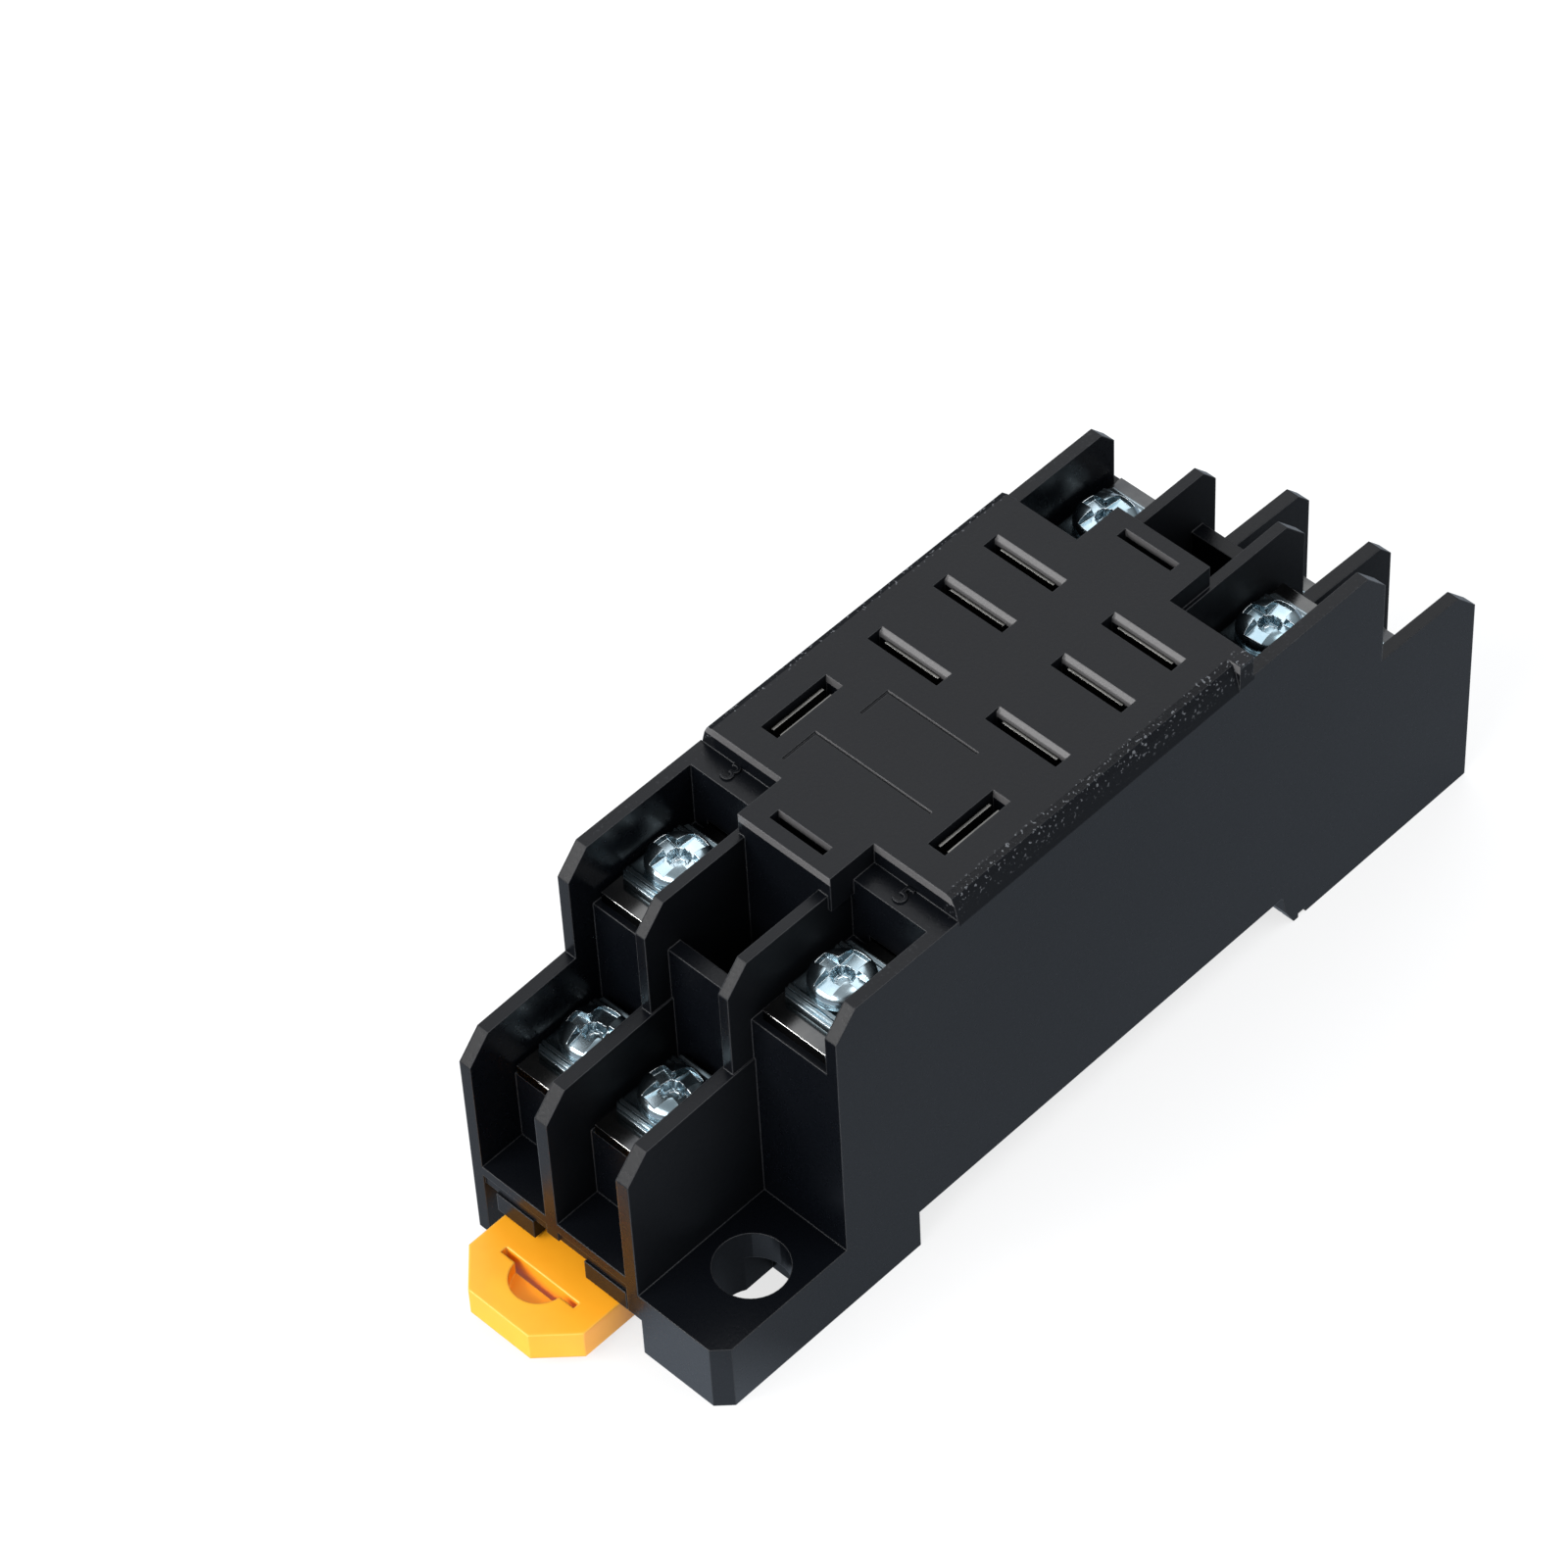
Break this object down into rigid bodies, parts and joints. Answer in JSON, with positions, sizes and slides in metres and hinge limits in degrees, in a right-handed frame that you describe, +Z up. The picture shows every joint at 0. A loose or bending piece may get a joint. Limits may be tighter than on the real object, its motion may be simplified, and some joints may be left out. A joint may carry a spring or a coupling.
{
  "type": "relay socket",
  "caption": "Socket for a plug-in relay with stepped screw terminals at each end, a slotted deck, mounting flanges and a sliding clip for a rail.",
  "frame": {"origin": "midway between the mounting holes, on the plane the base stands on", "axes": "+Z up out of the deck towards the relay, -X towards the end with the rail clip, +Y towards that end's left side seen from above"},
  "size_m": [0.0776, 0.0222, 0.0303],
  "materials": {
    "black_plastic": "fine-grained satin moulding",
    "orange_plastic": "smooth moulding",
    "zinc_steel": "bright zinc plating",
    "brass": "plain pressed strip"
  },
  "bodies": {
    "socket": {"housing": "black_plastic", "base_cover": "black_plastic", "cover_screws": "zinc_steel", "terminal_plate_1": "brass", "contact_spring_1": "brass", "terminal_plate_2": "brass", "contact_spring_2": "brass", "terminal_plate_3": "brass", "contact_spring_3": "brass", "terminal_plate_4": "brass", "contact_spring_4": "brass", "terminal_plate_5": "brass", "contact_spring_5": "brass", "terminal_plate_6": "brass", "contact_spring_6": "brass", "terminal_plate_7": "brass", "contact_spring_7": "brass", "terminal_plate_8": "brass", "contact_spring_8": "brass"},
    "rail_clip": {"rail_clip": "orange_plastic"},
    "washer_1": {"clamp_washer_1": "zinc_steel"},
    "screw_1": {"terminal_screw_1": "zinc_steel"},
    "washer_2": {"clamp_washer_2": "zinc_steel"},
    "screw_2": {"terminal_screw_2": "zinc_steel"},
    "washer_3": {"clamp_washer_3": "zinc_steel"},
    "screw_3": {"terminal_screw_3": "zinc_steel"},
    "washer_4": {"clamp_washer_4": "zinc_steel"},
    "screw_4": {"terminal_screw_4": "zinc_steel"},
    "washer_5": {"clamp_washer_5": "zinc_steel"},
    "screw_5": {"terminal_screw_5": "zinc_steel"},
    "washer_6": {"clamp_washer_6": "zinc_steel"},
    "screw_6": {"terminal_screw_6": "zinc_steel"},
    "washer_7": {"clamp_washer_7": "zinc_steel"},
    "screw_7": {"terminal_screw_7": "zinc_steel"},
    "washer_8": {"clamp_washer_8": "zinc_steel"},
    "screw_8": {"terminal_screw_8": "zinc_steel"}
  },
  "joints": [
    {"name": "rail_clip_slide", "type": "slide", "parent": "socket", "child": "rail_clip", "axis": [-1, 0, 0], "range_m": [0, 0.0022]},
    {"name": "washer_1_lift", "type": "slide", "parent": "socket", "child": "washer_1", "axis": [0, 0, 1], "range_m": [0, 0.002]},
    {"name": "screw_1_turn", "type": "hinge", "parent": "washer_1", "child": "screw_1", "pos_m": [-0.0197, 0.00719, 0.0239], "axis": [0, 0, 1], "range_deg": [0, 1440]},
    {"name": "washer_2_lift", "type": "slide", "parent": "socket", "child": "washer_2", "axis": [0, 0, 1], "range_m": [0, 0.002]},
    {"name": "screw_2_turn", "type": "hinge", "parent": "washer_2", "child": "screw_2", "pos_m": [-0.0197, -0.00691, 0.0239], "axis": [0, 0, 1], "range_deg": [0, 1440]},
    {"name": "washer_3_lift", "type": "slide", "parent": "socket", "child": "washer_3", "axis": [0, 0, 1], "range_m": [0, 0.002]},
    {"name": "screw_3_turn", "type": "hinge", "parent": "washer_3", "child": "screw_3", "pos_m": [-0.028, 0.00725, 0.01415], "axis": [0, 0, 1], "range_deg": [0, 1440]},
    {"name": "washer_4_lift", "type": "slide", "parent": "socket", "child": "washer_4", "axis": [0, 0, 1], "range_m": [0, 0.002]},
    {"name": "screw_4_turn", "type": "hinge", "parent": "washer_4", "child": "screw_4", "pos_m": [-0.028, 0.00028, 0.01415], "axis": [0, 0, 1], "range_deg": [0, 1440]},
    {"name": "washer_5_lift", "type": "slide", "parent": "socket", "child": "washer_5", "axis": [0, 0, 1], "range_m": [0, 0.002]},
    {"name": "screw_5_turn", "type": "hinge", "parent": "washer_5", "child": "screw_5", "pos_m": [0.0197, -0.00719, 0.0239], "axis": [0, 0, 1], "range_deg": [0, 1440]},
    {"name": "washer_6_lift", "type": "slide", "parent": "socket", "child": "washer_6", "axis": [0, 0, 1], "range_m": [0, 0.002]},
    {"name": "screw_6_turn", "type": "hinge", "parent": "washer_6", "child": "screw_6", "pos_m": [0.0197, 0.00691, 0.0239], "axis": [0, 0, 1], "range_deg": [0, 1440]},
    {"name": "washer_7_lift", "type": "slide", "parent": "socket", "child": "washer_7", "axis": [0, 0, 1], "range_m": [0, 0.002]},
    {"name": "screw_7_turn", "type": "hinge", "parent": "washer_7", "child": "screw_7", "pos_m": [0.028, -0.00725, 0.01415], "axis": [0, 0, 1], "range_deg": [0, 1440]},
    {"name": "washer_8_lift", "type": "slide", "parent": "socket", "child": "washer_8", "axis": [0, 0, 1], "range_m": [0, 0.002]},
    {"name": "screw_8_turn", "type": "hinge", "parent": "washer_8", "child": "screw_8", "pos_m": [0.028, -0.00028, 0.01415], "axis": [0, 0, 1], "range_deg": [0, 1440]}
  ],
  "couplings": [
    {"joint": "screw_1_turn", "follows": "washer_1_lift", "rad_per_m": 12566},
    {"joint": "screw_2_turn", "follows": "washer_2_lift", "rad_per_m": 12566},
    {"joint": "screw_3_turn", "follows": "washer_3_lift", "rad_per_m": 12566},
    {"joint": "screw_4_turn", "follows": "washer_4_lift", "rad_per_m": 12566},
    {"joint": "screw_5_turn", "follows": "washer_5_lift", "rad_per_m": 12566},
    {"joint": "screw_6_turn", "follows": "washer_6_lift", "rad_per_m": 12566},
    {"joint": "screw_7_turn", "follows": "washer_7_lift", "rad_per_m": 12566},
    {"joint": "screw_8_turn", "follows": "washer_8_lift", "rad_per_m": 12566}
  ]
}
